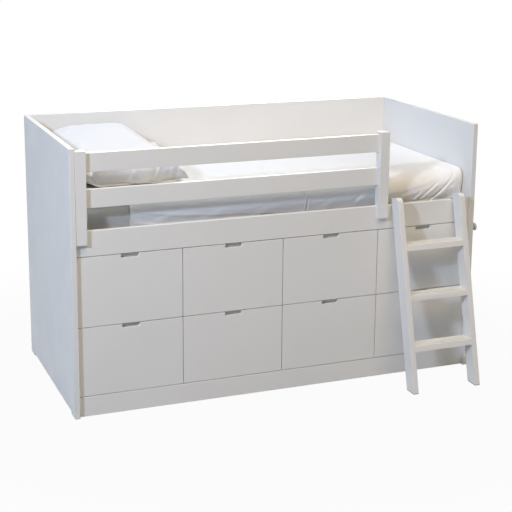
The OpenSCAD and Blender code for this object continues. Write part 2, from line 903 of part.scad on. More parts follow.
module ladder_dowel_set(play = 0) {
    tip = play > 0 ? tip_play : 0;
    for (k = [0 : treads - 1], x = [ladder_x0 + stringer_t, ladder_x0 + ladder_w - stringer_t]) {
        z = tread_z(k) - tread_t / 2;
        for (share = [0.3, 0.7])
            bar_x([x - dowel_half - tip, ladder_back(z) - share * stringer_depth, z],
                2 * (dowel_half + tip), dowel_r + play);
    }
}

module ladder_dowels() {
    color("burlywood") ladder_dowel_set();
}

// Pads under the stringers' flat lower ends, a little smaller than the wood
module ladder_foot_pads() {
    inset = 1;
    color("dimgray") for (x = stringer_xs)
        translate([x + inset, ladder_front + 2 * inset, 0])
            cube([stringer_t - 2 * inset, stringer_depth - 4 * inset, pad_t]);
}

// Steel strips from the stringers' back edges over the side board's top and down behind it
module ladder_hooks() {
    seat_z = side_z1 + clear;
    leg_z = side_z1 - hook_leg;
    rear_y = side_y1 + clear;
    color("silver") difference() {
        for (x = stringer_xs)
            along_bed(x + (stringer_t - hook_w) / 2, hook_w) polygon([
                [ladder_back(leg_z), leg_z], [ladder_back(leg_z) + hook_depth, leg_z],
                [ladder_back(seat_z) + hook_depth, seat_z], [rear_y, seat_z],
                [rear_y, seat_z - hook_drop], [rear_y + hook_t, seat_z - hook_drop],
                [rear_y + hook_t, seat_z + hook_t], [ladder_back(seat_z + hook_t), seat_z + hook_t]]);
        hook_screw_shanks(hole_play);
    }
}

// Calls its child at each hook screw, with zero on the stringer's back edge and Z pointing out
module each_hook_screw() {
    for (x = stringer_xs, z = hook_screw_zs)
        translate([x + stringer_t / 2, ladder_back(z), z]) rotate([-lean - 90, 0, 0]) children();
}

module hook_screw_shanks(play = 0) {
    depth = hook_screw_l + (play > 0 ? tip_play : 0);
    each_hook_screw() translate([0, 0, -depth]) cylinder(h = depth + hook_t, r = hook_screw_r + play);
}

module ladder_screws() {
    head_h = 1.8;
    color("silver") {
        hook_screw_shanks();
        each_hook_screw() translate([0, 0, hook_t]) cylinder(h = head_h, r = 2 * hook_screw_r);
    }
}

// ---- Clothes knob ----

module knob_stem(play = 0) {
    depth = knob_stem_l + (play > 0 ? tip_play : 0);
    bar_x([bed_l - depth, knob_in, knob_z], depth + (play > 0 ? over : 0), knob_stem_r + play);
}

module side_knob() {
    neck_r = knob_r / 2;
    rim = knob_r / 4;
    color("lightgray") {
        knob_stem();
        translate([bed_l, knob_in, knob_z]) rotate([0, 90, 0]) rotate_extrude() {
            square([neck_r, knob_out - rim]);
            translate([0, knob_out - 2 * rim]) square([knob_r - rim, 2 * rim]);
            translate([knob_r - rim, knob_out - rim]) intersection() {
                circle(rim);
                translate([rim - knob_r, -rim]) square([knob_r, 2 * rim]);
            }
        }
    }
}

// ---- Bedding ----

module mattress_profile(grow = 0) {
    translate([mattress_y0 - grow, mattress_z0 - grow])
        round_rect(mattress_w + 2 * grow, mattress_h + 2 * grow, mattress_r + grow);
}

module mattress() {
    color("gainsboro") along_bed(end_t + mattress_end_play, mattress_l) mattress_profile();
}

// Cover over the top of the mattress, rounded over its front edge and hanging down behind the
// side board, from cover_start to the foot end
module cover() {
    y0 = mattress_y0 - cover_front_t;
    z0 = mattress_z0 + cover_lift;
    cover_r = mattress_r + cover_front_t;
    color("white") along_bed(end_t + cover_start, inner_l - cover_start - mattress_end_play)
        difference() {
            union() {
                translate([y0, z0]) square([cover_r, cover_z1 - cover_r - z0]);
                translate([y0 + cover_r, z0]) square([mattress_y1 - y0 - cover_r, cover_z1 - z0]);
                translate([y0 + cover_r, cover_z1 - cover_r]) intersection() {
                    circle(cover_r);
                    translate([-cover_r, 0]) square(cover_r);
                }
            }
            mattress_profile(clear);
            translate([mattress_y0 + mattress_r, z0 - over])
                square([mattress_w, mattress_z1 + clear - z0 + over]);
        }
}

// Plump pillow, pushed against the back board, so that its crown lies near the back
module pillow() {
    seam_r = 26;
    crown_r = 60;
    x0 = end_t + pillow_end_play;
    x1 = x0 + pillow_l;
    y1 = back_y0 - pillow_back_play;
    y0 = y1 - pillow_w;
    z0 = cover_z1 + clear;
    color("white") hull() {
        for (x = [x0 + seam_r, x1 - seam_r]) {
            translate([x, y0 + seam_r, z0 + seam_r]) sphere(seam_r, $fn = 24);
            translate([x, y1 - seam_r, z0 + 2 * seam_r]) sphere(seam_r, $fn = 24);
        }
        for (x = [x0 + 0.22 * pillow_l, x1 - 0.36 * pillow_l])
            translate([x, y1 - 0.16 * pillow_w, z0 + pillow_h - crown_r]) sphere(crown_r, $fn = 24);
        for (x = [x0 + 0.25 * pillow_l, x1 - 0.25 * pillow_l]) {
            translate([x, y0 + 0.2 * pillow_w, z0 + pillow_front_h - crown_r / 2])
                sphere(crown_r / 2, $fn = 24);
            translate([x, y1 - 0.3 * pillow_w, z0 + crown_r]) sphere(crown_r, $fn = 24);
        }
    }
}

// ---- Output ----

place() left_end_panel();
place() right_end_panel();
place() back_board_upper();
place() back_board_lower();
place() side_board();
place() plinth();
place() base_panel();
place() partition_left();
place() partition_middle();
place() partition_right();
place() slat_bearers();
place() slats();
place() runner_packers();
place() cabinet_runners();
place() runner_screws();
place() carcass_fittings();
place() foot_glides();
place() mattress();
place() cover();
place() pillow();
place() guard_post_left();
place() guard_post_right();
place() guard_rail_top();
place() guard_rail_middle();
place() guard_bolts();
place() guard_dowels();
place() side_knob();
place() ladder_stringer_left();
place() ladder_stringer_right();
place() ladder_tread_bottom();
place() ladder_tread_middle();
place() ladder_tread_top();
place() ladder_hooks();
place() ladder_screws();
place() ladder_dowels();
place() ladder_foot_pads();
for (d = all_drawers) {
    name = str("drawer_", drawer_names[d[1] * columns + d[0]]);
    place() drawer_front(d[0], d[1]);
    place() drawer_box(d[0], d[1]);
    place() drawer_fittings(d[0], d[1]);
}
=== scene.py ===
"""Cabin bed: bedding, finishes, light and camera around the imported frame. Metres, Z up."""

import json
import math

import bpy
import numpy as np
from mathutils import Matrix, Vector


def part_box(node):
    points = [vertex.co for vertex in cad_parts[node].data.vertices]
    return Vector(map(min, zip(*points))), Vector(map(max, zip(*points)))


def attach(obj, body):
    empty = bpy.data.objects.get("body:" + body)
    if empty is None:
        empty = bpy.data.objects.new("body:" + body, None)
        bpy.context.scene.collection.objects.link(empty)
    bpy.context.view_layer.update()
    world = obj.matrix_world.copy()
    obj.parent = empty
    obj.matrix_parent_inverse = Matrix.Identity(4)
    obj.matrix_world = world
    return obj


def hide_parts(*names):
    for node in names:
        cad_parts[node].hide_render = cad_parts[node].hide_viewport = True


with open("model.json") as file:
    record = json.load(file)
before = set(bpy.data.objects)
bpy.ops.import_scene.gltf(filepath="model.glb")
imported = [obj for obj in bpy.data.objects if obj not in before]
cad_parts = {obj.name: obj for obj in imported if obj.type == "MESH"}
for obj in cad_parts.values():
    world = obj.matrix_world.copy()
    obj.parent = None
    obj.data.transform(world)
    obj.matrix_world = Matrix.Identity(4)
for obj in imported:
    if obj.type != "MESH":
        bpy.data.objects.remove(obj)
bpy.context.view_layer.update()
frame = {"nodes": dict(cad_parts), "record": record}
NODES = frame["nodes"]
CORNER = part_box("left_end_panel")[0]  # the bed's left front corner
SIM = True

# ---------------------------------------------------------------- helpers


def bed(p):
    """Row-frame metres for an array of points in the bed's own millimetres."""
    return np.asarray(p, float) / 1000 + (CORNER.x, CORNER.y, 0)


def make(name, points, faces, body="bed"):
    """A smooth mesh object from points in bed millimetres, riding on a body."""
    mesh = bpy.data.meshes.new(name)
    mesh.from_pydata(bed(points).tolist(), [], [tuple(int(i) for i in f) for f in faces])
    mesh.polygons.foreach_set("use_smooth", [True] * len(mesh.polygons))
    mesh.update()
    piece = bpy.data.objects.new(name, mesh)
    bpy.context.scene.collection.objects.link(piece)
    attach(piece, body)
    return piece


def grid_faces(rows, cols, start=0, flip=False, wrap=False):
    """Quads of a grid stored row by row. wrap joins the last column to the first."""
    faces = []
    for r in range(rows - 1):
        for c in range(cols if wrap else cols - 1):
            d = (c + 1) % cols
            here, there = start + r * cols + c, start + r * cols + d
            q = (here, there, there + cols, here + cols)
            faces.append(q[::-1] if flip else q)
    return faces


def points_of(piece):
    co = np.zeros(len(piece.data.vertices) * 3)
    piece.data.vertices.foreach_get("co", co)
    return co.reshape(-1, 3)


def set_points(piece, co):
    piece.data.vertices.foreach_set("co", np.asarray(co, float).ravel())
    piece.data.update()


def smoothstep(t, lo, hi):
    """Smooth step from 0 at lo to 1 at hi."""
    s = np.clip((np.asarray(t, float) - lo) / (hi - lo), 0, 1)
    return s * s * (3 - 2 * s)


def ripple(x, y, seed, scale):
    """Smooth pseudo-random field, about -1 to 1, from a few seeded waves."""
    rng = np.random.default_rng(seed)
    count = 5
    total = 0
    for _ in range(count):
        angle, phase = rng.uniform(0, math.tau, 2)
        k = math.tau / (scale * rng.uniform(0.6, 1.7))
        total = total + np.sin(k * (x * math.cos(angle) + y * math.sin(angle)) + phase)
    return total / math.sqrt(2 * count)


def tube(name, path, radius, sides=8, closed=False):
    """Round cord along a path in bed millimetres, such as piping."""
    path = np.asarray(path, float)
    n = len(path)
    nxt, prv = np.roll(path, -1, 0), np.roll(path, 1, 0)
    if not closed:
        nxt[-1], prv[0] = path[-1], path[0]
    tangent = nxt - prv
    tangent /= np.linalg.norm(tangent, axis=1)[:, None]
    side = np.cross(tangent, (0.0, 0.0, 1.0))
    weak = np.linalg.norm(side, axis=1) < 1e-3
    side[weak] = (1.0, 0.0, 0.0)
    side /= np.linalg.norm(side, axis=1)[:, None]
    up = np.cross(side, tangent)
    turn = np.linspace(0, math.tau, sides, endpoint=False)
    spokes = np.cos(turn)[None, :, None] * side[:, None] + np.sin(turn)[None, :, None] * up[:, None]
    points = (path[:, None] + radius * spokes).reshape(-1, 3)
    faces = grid_faces(n, sides, wrap=True)
    if closed:
        last = (n - 1) * sides
        faces += [(last + c, last + (c + 1) % sides, (c + 1) % sides, c) for c in range(sides)]
    else:
        faces += [tuple(range(sides))[::-1], tuple(range((n - 1) * sides, n * sides))]
    return make(name, points, faces)


def cloth(piece, frames, cap, rest, stiff, bend, pressure=0.0, gravity=0.0, pinned=None, quality=5):
    """Runs cloth on a piece, with springs at rest in the form rest. No point moves more than cap metres."""
    if not SIM:
        return
    start = points_of(piece)
    piece.shape_key_add(name="start")
    key = piece.shape_key_add(name="cut")
    key.data.foreach_set("co", np.asarray(rest, float).ravel())
    modifier = piece.modifiers.new("cloth", "CLOTH")
    settings = modifier.settings
    settings.quality = quality
    settings.mass = 0.25
    settings.tension_stiffness = settings.compression_stiffness = stiff
    settings.shear_stiffness = stiff / 3
    settings.bending_stiffness = bend
    settings.air_damping = 4
    if pressure:
        settings.use_pressure = True
        settings.uniform_pressure_force = pressure
    settings.effector_weights.gravity = gravity
    modifier.collision_settings.use_collision = False
    modifier.collision_settings.use_self_collision = False
    settings.rest_shape_key = key
    if pinned is not None:
        group = piece.vertex_groups.new(name="pin")
        for index in np.flatnonzero(pinned > 0):
            group.add([int(index)], float(pinned[index]), "REPLACE")
        settings.vertex_group_mass = "pin"
    scene = bpy.context.scene
    modifier.point_cache.frame_start, modifier.point_cache.frame_end = 1, frames
    scene.frame_start, scene.frame_end = 1, frames
    for f in range(1, frames + 1):
        scene.frame_set(f)
    done = piece.evaluated_get(bpy.context.evaluated_depsgraph_get()).data
    end = np.zeros(len(done.vertices) * 3)
    done.vertices.foreach_get("co", end)
    end = end.reshape(-1, 3)
    piece.modifiers.remove(modifier)
    piece.shape_key_clear()
    scene.frame_set(1)
    moved = end - start
    length = np.linalg.norm(moved, axis=1)
    moved *= (cap * np.tanh(length / cap) / np.maximum(length, 1e-9))[:, None]
    set_points(piece, start + moved)


# ---------------------------------------------------------------- materials


class Nodes:
    """Short way to write a node tree."""

    def __init__(self, name, rough, metallic=0.0):
        self.material = bpy.data.materials.new(name)
        self.material.use_nodes = True
        self.tree = self.material.node_tree
        self.shader = self.tree.nodes["Principled BSDF"]
        self.shader.inputs["Roughness"].default_value = rough
        self.shader.inputs["Metallic"].default_value = metallic
        self.coords = self.tree.nodes.new("ShaderNodeTexCoord").outputs["Object"]

    def node(self, kind, inputs=(), **settings):
        made = self.tree.nodes.new("ShaderNode" + kind)
        for key, value in settings.items():
            setattr(made, key, value)
        for key, value in dict(inputs).items():
            if isinstance(value, bpy.types.NodeSocket):
                self.tree.links.new(value, made.inputs[key])
            else:
                made.inputs[key].default_value = value
        return made

    def scaled(self, scale, turn=(0, 0, 0)):
        return self.node("Mapping", {"Vector": self.coords, "Scale": scale, "Rotation": turn}).outputs[0]

    def noise(self, scale, detail, rough=0.5, vector=None):
        inputs = {"Vector": vector or self.coords, "Scale": scale, "Detail": detail, "Roughness": rough}
        return self.node("TexNoise", inputs).outputs["Fac"]

    def wave(self, vector, scale, distortion, detail, axis="X"):
        inputs = {"Vector": vector, "Scale": scale, "Distortion": distortion, "Detail": detail}
        return self.node("TexWave", inputs, bands_direction=axis).outputs["Fac"]

    def span(self, value, lo, hi):
        """Stretches the middle of a noise's range to lo..hi."""
        inputs = {"Value": value, "From Min": 0.3, "From Max": 0.7, "To Min": lo, "To Max": hi}
        return self.node("MapRange", inputs).outputs[0]

    def math(self, operation, a, b):
        return self.node("Math", {0: a, 1: b}, operation=operation).outputs[0]

    def blend(self, factor, a, b):
        """Mixes two colours."""
        made = self.node("Mix", {"Factor": factor}, data_type="RGBA")
        made.inputs[6].default_value = (*a, 1)
        made.inputs[7].default_value = (*b, 1)
        return made.outputs[2]

    def bump(self, height, distance, strength):
        made = self.node("Bump", {"Height": height, "Distance": distance, "Strength": strength})
        self.tree.links.new(made.outputs[0], self.shader.inputs["Normal"])

    def feed(self, socket, value):
        self.tree.links.new(value, self.shader.inputs[socket])


def lacquer(name, pale, deep, rough):
    """Sprayed lacquer: slow tint, a few paler and duller patches, and fine orange peel."""
    n = Nodes(name, rough)
    n.feed("Base Color", n.blend(n.span(n.noise(2.2, 4), 0, 1), pale, deep))
    n.feed("Roughness", n.span(n.noise(9, 5, 0.6), rough - 0.06, rough + 0.09))
    peel = n.math("ADD", n.noise(420, 2), n.math("MULTIPLY", n.noise(70, 2), 0.8))
    n.bump(peel, 0.00012, 0.35)
    return n.material


def melamine(name, pale, deep):
    """Melamine board: fine even pebble under a dull sheen."""
    n = Nodes(name, 0.5)
    n.feed("Base Color", n.blend(n.span(n.noise(3, 4), 0, 1), pale, deep))
    n.bump(n.noise(900, 3, 0.6), 0.0001, 0.5)
    return n.material


def softwood(name, along):
    """Planed softwood, with its grain along one axis."""
    n = Nodes(name, 0.62)
    scale = [38.0, 38.0, 38.0]
    scale["xyz".index(along)] = 1.6
    grain = n.noise(1.0, 6, 0.62, n.scaled(scale))
    rings = n.wave(n.scaled([s * 0.5 for s in scale]), 0.9, 7.0, 3.0)
    tone = n.math("MULTIPLY", n.math("ADD", grain, rings), 0.5)
    n.feed("Base Color", n.blend(n.span(tone, 0, 1), (0.72, 0.53, 0.31), (0.84, 0.69, 0.47)))
    n.bump(grain, 0.0004, 0.4)
    return n.material


def metal(name, color, rough):
    """Plated steel with a fine mottle."""
    n = Nodes(name, rough, 1.0)
    mottle = n.noise(60, 4, 0.6)
    n.feed("Base Color", n.blend(n.span(mottle, 0, 1), color, tuple(c * 0.86 for c in color)))
    n.feed("Roughness", n.span(mottle, rough - 0.07, rough + 0.1))
    n.bump(mottle, 0.00005, 0.3)
    return n.material


def epoxy(name):
    """White epoxy powder on sheet steel."""
    n = Nodes(name, 0.42)
    n.feed("Base Color", n.blend(n.span(n.noise(12, 3), 0, 1), (0.80, 0.80, 0.79), (0.86, 0.86, 0.85)))
    n.bump(n.noise(1400, 2), 0.0001, 0.5)
    return n.material


def rubber(name, color, rough):
    """Matt rubber or plastic with a faint grain."""
    n = Nodes(name, rough)
    n.feed("Base Color", n.blend(n.span(n.noise(60, 3), 0, 1), color, tuple(c * 1.35 for c in color)))
    n.bump(n.noise(500, 3), 0.0002, 0.6)
    return n.material


def woven(name, pale, deep, threads=1100.0, depth=0.00018, sheen=0.25, crumple=0.0006):
    """Plain weave of threads per metre: crossed threads, slubs, soft crumple and a slight sheen."""
    n = Nodes(name, 0.9)
    n.shader.inputs["Sheen Weight"].default_value = sheen
    n.shader.inputs["Sheen Roughness"].default_value = 0.5
    warp = n.wave(n.coords, threads / math.tau, 0.6, 1.0)
    weft = n.wave(n.scaled((1, 1, 1), (0.0, 0.0, math.pi / 2)), threads / math.tau, 0.6, 1.0)
    upright = n.wave(n.coords, threads / math.tau, 0.6, 1.0, "Z")
    weave = n.math("ADD", n.math("MULTIPLY", warp, weft), n.math("MULTIPLY", upright, 0.5))
    slub = n.noise(1.0, 3, 0.5, n.scaled((30, 420, 30)))
    tone = n.math("ADD", n.math("MULTIPLY", slub, 0.5), n.math("MULTIPLY", n.noise(4.5, 3), 0.5))
    n.feed("Base Color", n.blend(n.span(tone, 0, 1), pale, deep))
    crumpled = n.math("MULTIPLY", n.noise(22, 4, 0.6), crumple)
    n.bump(n.math("ADD", n.math("MULTIPLY", weave, depth), crumpled), 1.0, 1.0)
    return n.material


LACQUER = lacquer("lacquer_white", (0.80, 0.80, 0.795), (0.775, 0.775, 0.77), 0.34)
MELAMINE = melamine("melamine_white", (0.74, 0.74, 0.73), (0.70, 0.70, 0.69))
# Drawer boxes in mid grey: painted shade. The white melamine is darkened so the insides seen through the
# drawer fronts' finger notches look shaded.
BOX_BOARD_NOTCH_SHADE = melamine("melamine_box_painted_shade", (0.58, 0.58, 0.56), (0.55, 0.55, 0.53))
SLAT_WOOD = softwood("wood_slats", "y")
BEARER_WOOD = softwood("wood_bearers", "x")
STEEL = metal("steel_zinc", (0.62, 0.63, 0.64), 0.36)
EPOXY = epoxy("steel_epoxy")
KNOB = rubber("knob_matt_grey", (0.42, 0.41, 0.40), 0.6)
RUBBER = rubber("rubber_pads", (0.10, 0.10, 0.10), 0.85)
TICKING = woven("ticking", (0.66, 0.65, 0.62), (0.58, 0.57, 0.54), threads=900, depth=0.0003, sheen=0.15)
COTTON = woven("cotton_cover", (0.90, 0.895, 0.885), (0.87, 0.865, 0.855))
PILLOW_PALE, PILLOW_DEEP = (0.85, 0.855, 0.865), (0.82, 0.825, 0.835)
PILLOWCASE = woven("cotton_pillow", PILLOW_PALE, PILLOW_DEEP, threads=1300, crumple=0.0008)
THREAD = woven("thread", (0.86, 0.85, 0.83), (0.80, 0.79, 0.77), threads=2600)

FINISH = {
    "white_lacquer": LACQUER,
    "white_melamine": MELAMINE,
    "plain_wood": BEARER_WOOD,
    "runner_steel": EPOXY,
    "zinc_steel": STEEL,
    "knob_grey": KNOB,
    "pad_rubber": RUBBER,
    "mattress_cover": TICKING,
    "bed_cotton": COTTON,
    "pillow_cotton": PILLOWCASE,
}
SLOT_OF = {s["node"]: s["material_slot"] for s in frame["record"]["subparts"]}
SPECIAL = {"slats": SLAT_WOOD}


def dress(piece, material):
    piece.data.materials.clear()
    piece.data.materials.append(material)


# ---------------------------------------------------------------- CAD nodes

ROUNDED = {"white_lacquer": 0.0012, "white_melamine": 0.0008, "plain_wood": 0.001}  # edge widths by slot
PLAIN = ("base_panel",)  # left as the CAD has it

for name, piece in NODES.items():
    slot = SLOT_OF[name]
    dress(piece, SPECIAL.get(name, BOX_BOARD_NOTCH_SHADE if name.endswith("_box") else FINISH[slot]))
    if slot not in ROUNDED or name in PLAIN or "dowels" in name:
        continue
    weld = piece.modifiers.new("weld", "WELD")
    weld.merge_threshold = 0.00002
    flat = piece.modifiers.new("flat_faces", "DECIMATE")
    flat.decimate_type = "DISSOLVE"
    flat.angle_limit = math.radians(0.5)
    bevel = piece.modifiers.new("soft_edges", "BEVEL")
    bevel.width = ROUNDED[slot]
    bevel.segments = 2
    bevel.limit_method = "ANGLE"
    bevel.angle_limit = math.radians(40)
    bevel.use_clamp_overlap = False
    bevel.harden_normals = True

# ---------------------------------------------------------------- mattress and cover

COVER_X = (298.5, 2029.5)  # from the edge at the head end to the foot end
COVER_TOP = 1021.6
COVER_BACK = 951.0
EDGE_LOW = 880.0  # where the rounding of the front edge ends
HEM_LOW = 855.5
SEAM_X = 1175.0  # seam across the cover
STITCH_X = 311.0  # stitching of the hem at the head end
FLAP_X = 1998.0  # fold of the tucked corner at the foot end, at the cover's top
COVER_LIMIT_X = (298.3, 2033.0)  # how far its creases and slack may reach
COVER_LIMIT_TOP = 1024.0

MATTRESS_X = (30.5, 2029.5)
MATTRESS_LOW, MATTRESS_TOP, MATTRESS_BACK = 830.5, 988.5, 951.5


def spread(*spans):
    """Places along a line from (start, end, step) spans, denser where detail needs it."""
    parts = [np.arange(a, b, step) for a, b, step in spans]
    return np.concatenate([*parts, [spans[-1][1]]])


def edge_shape(x):
    """Start of the rounding, front plane and fullness of the cover's front edge at x."""
    start = 285 - 135 * smoothstep(x, 1900, 2030)
    front = 62.4 + 10 * smoothstep(x, 1985, 2030)
    full = 2.3 + 2.3 * smoothstep(x, 1930, 2030)
    return start, front, full


def cover_profile(x, turn):
    """Depth and height on the front edge; turn goes from 0 on top to 1 at the foot of the rounding."""
    start, front, full = edge_shape(x)
    angle = turn * math.pi / 2
    y = start - (start - front) * np.sin(angle) ** (2 / full)
    z = EDGE_LOW + (COVER_TOP - EDGE_LOW) * np.cos(angle) ** (2 / full)
    return y, z


def tuck_in(x, z):
    """How far the front leans in below its widest line, where the cover is pulled under the mattress.

    It is pulled in most at the middle of the bed, and less again right at the foot end.
    """
    foot = smoothstep(x, 1600, 1800)
    pull = 30 + 14 * smoothstep(x, 600, 1150) + 8 * foot - 36 * smoothstep(x, 1950, 2030)
    return pull * smoothstep(-z, -990 - 20 * foot, -850)


def cover_thickness(y):
    """The cover is thin where it hangs, and thicker on top."""
    return 8.5 + 20.0 * smoothstep(y, 160, 400)


def crease(x, y, a, b, width, depth, bulge):
    """A fold along the segment a-b of a plane: a sharp valley with a soft ridge on one side."""
    a, b = np.array(a, float), np.array(b, float)
    d = b - a
    length = np.hypot(*d)
    d /= length
    s = (x - a[0]) * d[0] + (y - a[1]) * d[1]
    w = (x - a[0]) * -d[1] + (y - a[1]) * d[0]
    ends = smoothstep(s, -width, width * 1.5) * (1 - smoothstep(s, length - width * 1.5, length + width))
    ridge = bulge * np.exp(-(((w - width) / width) ** 2))
    valley = depth * np.exp(-((w / (width * 0.45)) ** 2))
    return ends * (ridge - valley)


# Folds as (start, end, width, depth, ridge): on top in x and y, on the front in x and z
TOP_CREASES = (
    ((1064, 255), (1108, 545), 16, 5.0, 3.5),
    ((1268, 290), (1232, 440), 13, 4.0, 3.0),
    ((1500, 262), (1380, 300), 14, 1.6, 1.0),
)
FRONT_CREASES = (
    ((1905, 962), (1823, 896), 11, 3.6, 3.0),
    ((1823, 896), (1800, 872), 11, 3.0, 2.6),
    ((1810, 920), (1756, 872), 13, 2.6, 2.4),
    ((1862, 985), (1835, 955), 13, 1.2, 1.2),
    ((1735, 935), (1680, 885), 18, 1.4, 1.6),
    ((1502, 962), (1432, 896), 17, 4.6, 3.6),
    ((1330, 935), (1250, 890), 20, 1.6, 2.0),
    ((1010, 930), (900, 884), 24, 1.5, 2.2),
    ((760, 940), (640, 885), 26, 1.8, 2.6),
    ((520, 945), (390, 880), 24, 1.8, 2.6),
)


def sculpt(x, y, z, front):
    """How far the cover's outer face stands out of its plain form, in millimetres."""
    top = 1 - front
    out = top * (1.5 * ripple(x, y, 3, 520) - 1.5)
    for spec in TOP_CREASES:
        out += top * crease(x, y, *spec)
    out += front * 2.0 * ripple(x, z * 0.35, 11, 300)
    low = smoothstep(-y, -200, -110)
    for spec in FRONT_CREASES:
        out += low * crease(x, z, *spec)
    # Corner at the foot end: the tucked flap stands out to the right of a curved fold
    down = COVER_TOP - z
    w = x - (FLAP_X - 0.40 * down - 0.0026 * down**2)
    reach = smoothstep(-y, -150, -100) * smoothstep(down, -2, 14)
    flap = 5.0 * smoothstep(w, -2, 9)
    fold = 5.5 * np.exp(-(((w + 2.5) / 4.5) ** 2))
    roll = 1.6 * np.exp(-(((w + 26) / 15) ** 2))
    out += reach * (flap - fold + roll)
    out -= reach * 7.0 * smoothstep(x, 2014, 2030)
    # Seam across: a raised ridge with a shadow to its right
    on_front = smoothstep(-y, -420, -250)
    ridge = 1.8 * np.exp(-(((x - SEAM_X) / 3.5) ** 2))
    groove = 3.2 * np.exp(-(((x - (SEAM_X + 8)) / 4.5) ** 2))
    out += on_front * (ridge - groove)
    # Hem at the head end, turned in and sewn beside the edge
    out -= 1.2 * np.exp(-(((x - STITCH_X) / 2.2) ** 2)) + 1.0 * (1 - smoothstep(x, 298, 301))
    return out


def slack(outer):
    """How a cloth simulation moves the outer face: it is cut too long, so it buckles between its edges."""
    excess = 1.014
    row_count, col_count = outer.shape[:2]
    cols, rows = 141, 71
    ci = np.linspace(0, col_count - 1, cols)
    ri = np.linspace(0, row_count - 1, rows)

    def pick(field):
        """The field at every place of the coarser sheet."""
        along = np.stack([np.interp(ci, np.arange(field.shape[1]), line) for line in field])
        return np.stack([np.interp(ri, np.arange(field.shape[0]), along[:, k]) for k in range(cols)], 1)

    coarse = np.stack([pick(outer[..., k]) for k in range(3)], -1)
    sheet = make("slack_sheet", coarse.reshape(-1, 3), grid_faces(rows, cols))
    before = points_of(sheet)
    steps = np.linalg.norm(np.diff(coarse, axis=0), axis=2)
    along = np.concatenate([np.zeros((1, cols)), np.cumsum(steps, 0)])
    cut = np.stack([coarse[..., 0] * excess, along * excess, np.zeros_like(along)], -1)
    rim = np.zeros((rows, cols))
    rim[0], rim[-1], rim[:, 0], rim[:, -1] = 1, 1, 1, 1
    rim[:, 1], rim[:, -2], rim[1], rim[-2] = 0.5, 0.5, 0.5, 0.5
    flat = bed(cut.reshape(-1, 3))
    cloth(sheet, 16, cap=0.004, rest=flat, stiff=14, bend=0.5, gravity=0.15, pinned=rim.ravel())
    moved = (points_of(sheet) - before).reshape(rows, cols, 3) * 1000
    bpy.data.objects.remove(sheet)
    full = np.empty(outer.shape)
    for k in range(3):
        wide = np.stack([np.interp(np.arange(col_count), ci, line) for line in moved[..., k]])
        columns = [np.interp(np.arange(row_count), ri, wide[:, j]) for j in range(col_count)]
        full[..., k] = np.stack(columns, 1)
    return full


def cover_piece():
    """The cover as a closed shell of an outer face, an inner face and a rim. Returns the outer face too."""
    hem, seam = (COVER_X[0], 316, 1.5), (1160, 1200, 2)
    x = spread(hem, (316, 1160, 9), seam, (1200, 1700, 8), (1700, COVER_X[1], 3.6))
    back_rows, turns, hang = 26, np.linspace(0, 1, 74), 6
    cols = len(x)
    ys, zs = [], []
    start = edge_shape(x)[0]
    for t in np.linspace(0, 1, back_rows, endpoint=False):
        ys.append(COVER_BACK + (start - COVER_BACK) * t)
        zs.append(np.full(cols, COVER_TOP))
    for t in turns:
        y, z = cover_profile(x, t)
        ys.append(y)
        zs.append(z)
    for t in np.linspace(0, 1, hang + 1)[1:]:
        ys.append(ys[back_rows + len(turns) - 1] + 0.4 * t)
        zs.append(np.full(cols, EDGE_LOW + (HEM_LOW - EDGE_LOW) * t))
    Y, Z = np.array(ys), np.array(zs)
    Y = Y + tuck_in(x, Z)
    rows = len(Y)
    X = np.broadcast_to(x, Y.shape)
    ty, tz = np.gradient(Y, axis=0), np.gradient(Z, axis=0)
    size = np.hypot(ty, tz)
    NY, NZ = tz / size, -ty / size
    front = smoothstep(-Y, -330, -90)
    out = sculpt(X, Y, Z, front)
    outer = np.stack([X, Y + NY * out, Z + NZ * out], -1)
    if SIM:
        calm = smoothstep(2030 - x, 0, 90) * smoothstep(x - 298, 0, 60)
        outer += slack(outer) * calm[None, :, None]
    outer[..., 0] = np.clip(outer[..., 0], *COVER_LIMIT_X)
    outer[..., 2] = np.minimum(outer[..., 2], COVER_LIMIT_TOP)

    thick = cover_thickness(Y)
    inner = np.stack([X, Y - NY * thick, Z - NZ * thick], -1)
    points = np.concatenate([outer.reshape(-1, 3), inner.reshape(-1, 3)])
    n = rows * cols
    faces = grid_faces(rows, cols, 0, flip=True) + grid_faces(rows, cols, n)
    rim = [(0, c) for c in range(cols)] + [(r, cols - 1) for r in range(1, rows)]
    rim += [(rows - 1, c) for c in range(cols - 2, -1, -1)] + [(r, 0) for r in range(rows - 2, 0, -1)]
    ids = [r * cols + c for r, c in rim]
    for a, b in zip(ids, ids[1:] + ids[:1]):
        faces.append((a, b, n + b, n + a))
    return make("quilt_cover", points, faces), outer


cover, cover_outer = cover_piece()
dress(cover, COTTON)
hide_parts("cover")

# Thread along the sewn edge at the head end, without the rows that lie far back under the pillow
edge_rows = cover_outer[18:]
hem_cord = tube("cover_hem", edge_rows[::2, 1] + (-0.6, 0, 0.3), 1.5)
dress(hem_cord, THREAD)


def rounding(d, reach, depth):
    """How far a round corner draws in at d from the end: by depth there, and by nothing from reach on."""
    return depth * (1 - math.sqrt(max(0.0, 1 - (1 - min(d / reach, 1)) ** 2)))


